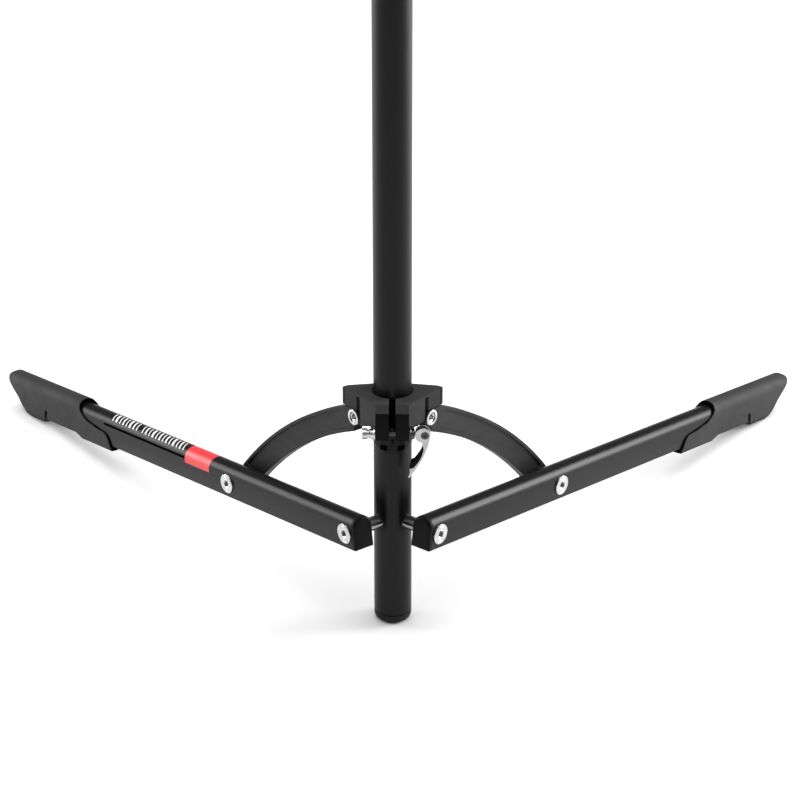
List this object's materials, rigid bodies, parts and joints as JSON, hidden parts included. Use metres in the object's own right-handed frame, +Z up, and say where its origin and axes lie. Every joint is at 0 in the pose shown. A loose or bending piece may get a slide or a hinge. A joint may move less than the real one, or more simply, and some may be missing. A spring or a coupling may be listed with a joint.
{
  "type": "folding stand base",
  "caption": "Folding floor stand base: round column, two hinged legs, curved struts and a sliding quick-release collar.",
  "frame": {"origin": "column axis at floor level, on the underside of the column foot", "axes": "+Z up the column, legs run towards +Y to both sides, quick-release lever on the +X side"},
  "size_m": [0.9756, 0.5891, 0.903],
  "materials": {
    "column_black": "satin black anodised tube",
    "foot_black": "matt moulded plastic",
    "block_alloy": "machined",
    "guide_plastic": "moulded plastic",
    "housing_black": "glass-filled plastic, fine grain",
    "band_black": "moulded plastic",
    "liner_black": "smooth sliding plastic",
    "bright_steel": "bright plated steel",
    "dark_steel": "blackened steel",
    "insert_black": "gloss plastic inlay",
    "leg_black": "satin black coated extrusion",
    "cap_black": "moulded plastic",
    "bush_plastic": "acetal bush",
    "boot_grey": "soft matt moulding",
    "tread_rubber": "rubber tread",
    "strut_black": "cast arm, satin black coat"
  },
  "bodies": {
    "column": {"column_tube": "column_black", "column_foot": "foot_black", "pivot_block": "block_alloy", "mast_guide_sleeve": "guide_plastic", "axle_spacer_right": "bright_steel", "axle_spacer_left": "bright_steel", "leg_pivot_bolt_right": "bright_steel", "leg_pivot_bolt_left": "bright_steel"},
    "collar": {"collar_body": "housing_black", "clamp_band": "band_black", "collar_liner": "liner_black", "skewer_rod": "dark_steel", "cam_barrel": "dark_steel", "washer_lever_side": "dark_steel", "washer_nut_side": "bright_steel", "collar_strut_bolt_right": "bright_steel", "collar_strut_bolt_left": "bright_steel"},
    "skewer_nut": {"skewer_nut": "bright_steel"},
    "lever": {"lever_arm": "bright_steel", "lever_insert": "insert_black"},
    "leg_right": {"leg_tube_right": "leg_black", "leg_end_cap_right": "cap_black", "leg_pivot_bush_right": "bush_plastic", "leg_strut_bush_right": "bush_plastic", "thrust_washer_right": "bush_plastic", "leg_strut_bolt_right": "bright_steel", "strut_washer_right": "bright_steel", "leg_boot_right": "boot_grey", "foot_pad_right": "tread_rubber"},
    "strut_right": {"strut_right": "strut_black", "strut_upper_bush_right": "bush_plastic", "strut_lower_bush_right": "bush_plastic", "strut_end_nut_right": "bright_steel"},
    "leg_left": {"leg_tube_left": "leg_black", "leg_end_cap_left": "cap_black", "leg_pivot_bush_left": "bush_plastic", "leg_strut_bush_left": "bush_plastic", "thrust_washer_left": "bush_plastic", "leg_strut_bolt_left": "bright_steel", "strut_washer_left": "bright_steel", "leg_boot_left": "boot_grey", "foot_pad_left": "tread_rubber"},
    "strut_left": {"strut_left": "strut_black", "strut_upper_bush_left": "bush_plastic", "strut_lower_bush_left": "bush_plastic", "strut_end_nut_left": "bright_steel"}
  },
  "joints": [
    {"name": "collar_slide", "type": "slide", "parent": "column", "child": "collar", "axis": [0, 0, 1], "range_m": [0, 0.354]},
    {"name": "leg_hinge_right", "type": "hinge", "parent": "column", "child": "leg_right", "pos_m": [0.04004, -0.03134, 0.1223], "axis": [0.7875, -0.6163, 0], "range_deg": [-0.5, 93.52]},
    {"name": "strut_hinge_right", "type": "hinge", "parent": "collar", "child": "strut_right", "pos_m": [0.03536, -0.00431, 0.2428], "axis": [-0.7875, 0.6163, 0], "range_deg": [-0.5, 52.55]},
    {"name": "leg_hinge_left", "type": "hinge", "parent": "column", "child": "leg_left", "pos_m": [-0.04004, -0.03134, 0.1223], "axis": [0.7875, 0.6163, 0], "range_deg": [-0.5, 93.52]},
    {"name": "strut_hinge_left", "type": "hinge", "parent": "collar", "child": "strut_left", "pos_m": [-0.03536, -0.00431, 0.2428], "axis": [-0.7875, -0.6163, 0], "range_deg": [-0.5, 52.55]},
    {"name": "lever_hinge", "type": "hinge", "parent": "collar", "child": "lever", "pos_m": [0.0336, -0.028, 0.2336], "axis": [0, -1, 0], "range_deg": [0, 160]},
    {"name": "nut_spin", "type": "hinge", "parent": "collar", "child": "skewer_nut", "pos_m": [-0.027, -0.028, 0.2336], "axis": [1, 0, 0], "continuous": true}
  ],
  "couplings": [
    {"joint": "leg_hinge_right", "follows": "collar_slide", "rad_per_m": 4.5862},
    {"joint": "strut_hinge_right", "follows": "collar_slide", "rad_per_m": 2.5661},
    {"joint": "leg_hinge_left", "follows": "collar_slide", "rad_per_m": 4.5862},
    {"joint": "strut_hinge_left", "follows": "collar_slide", "rad_per_m": 2.5661}
  ]
}
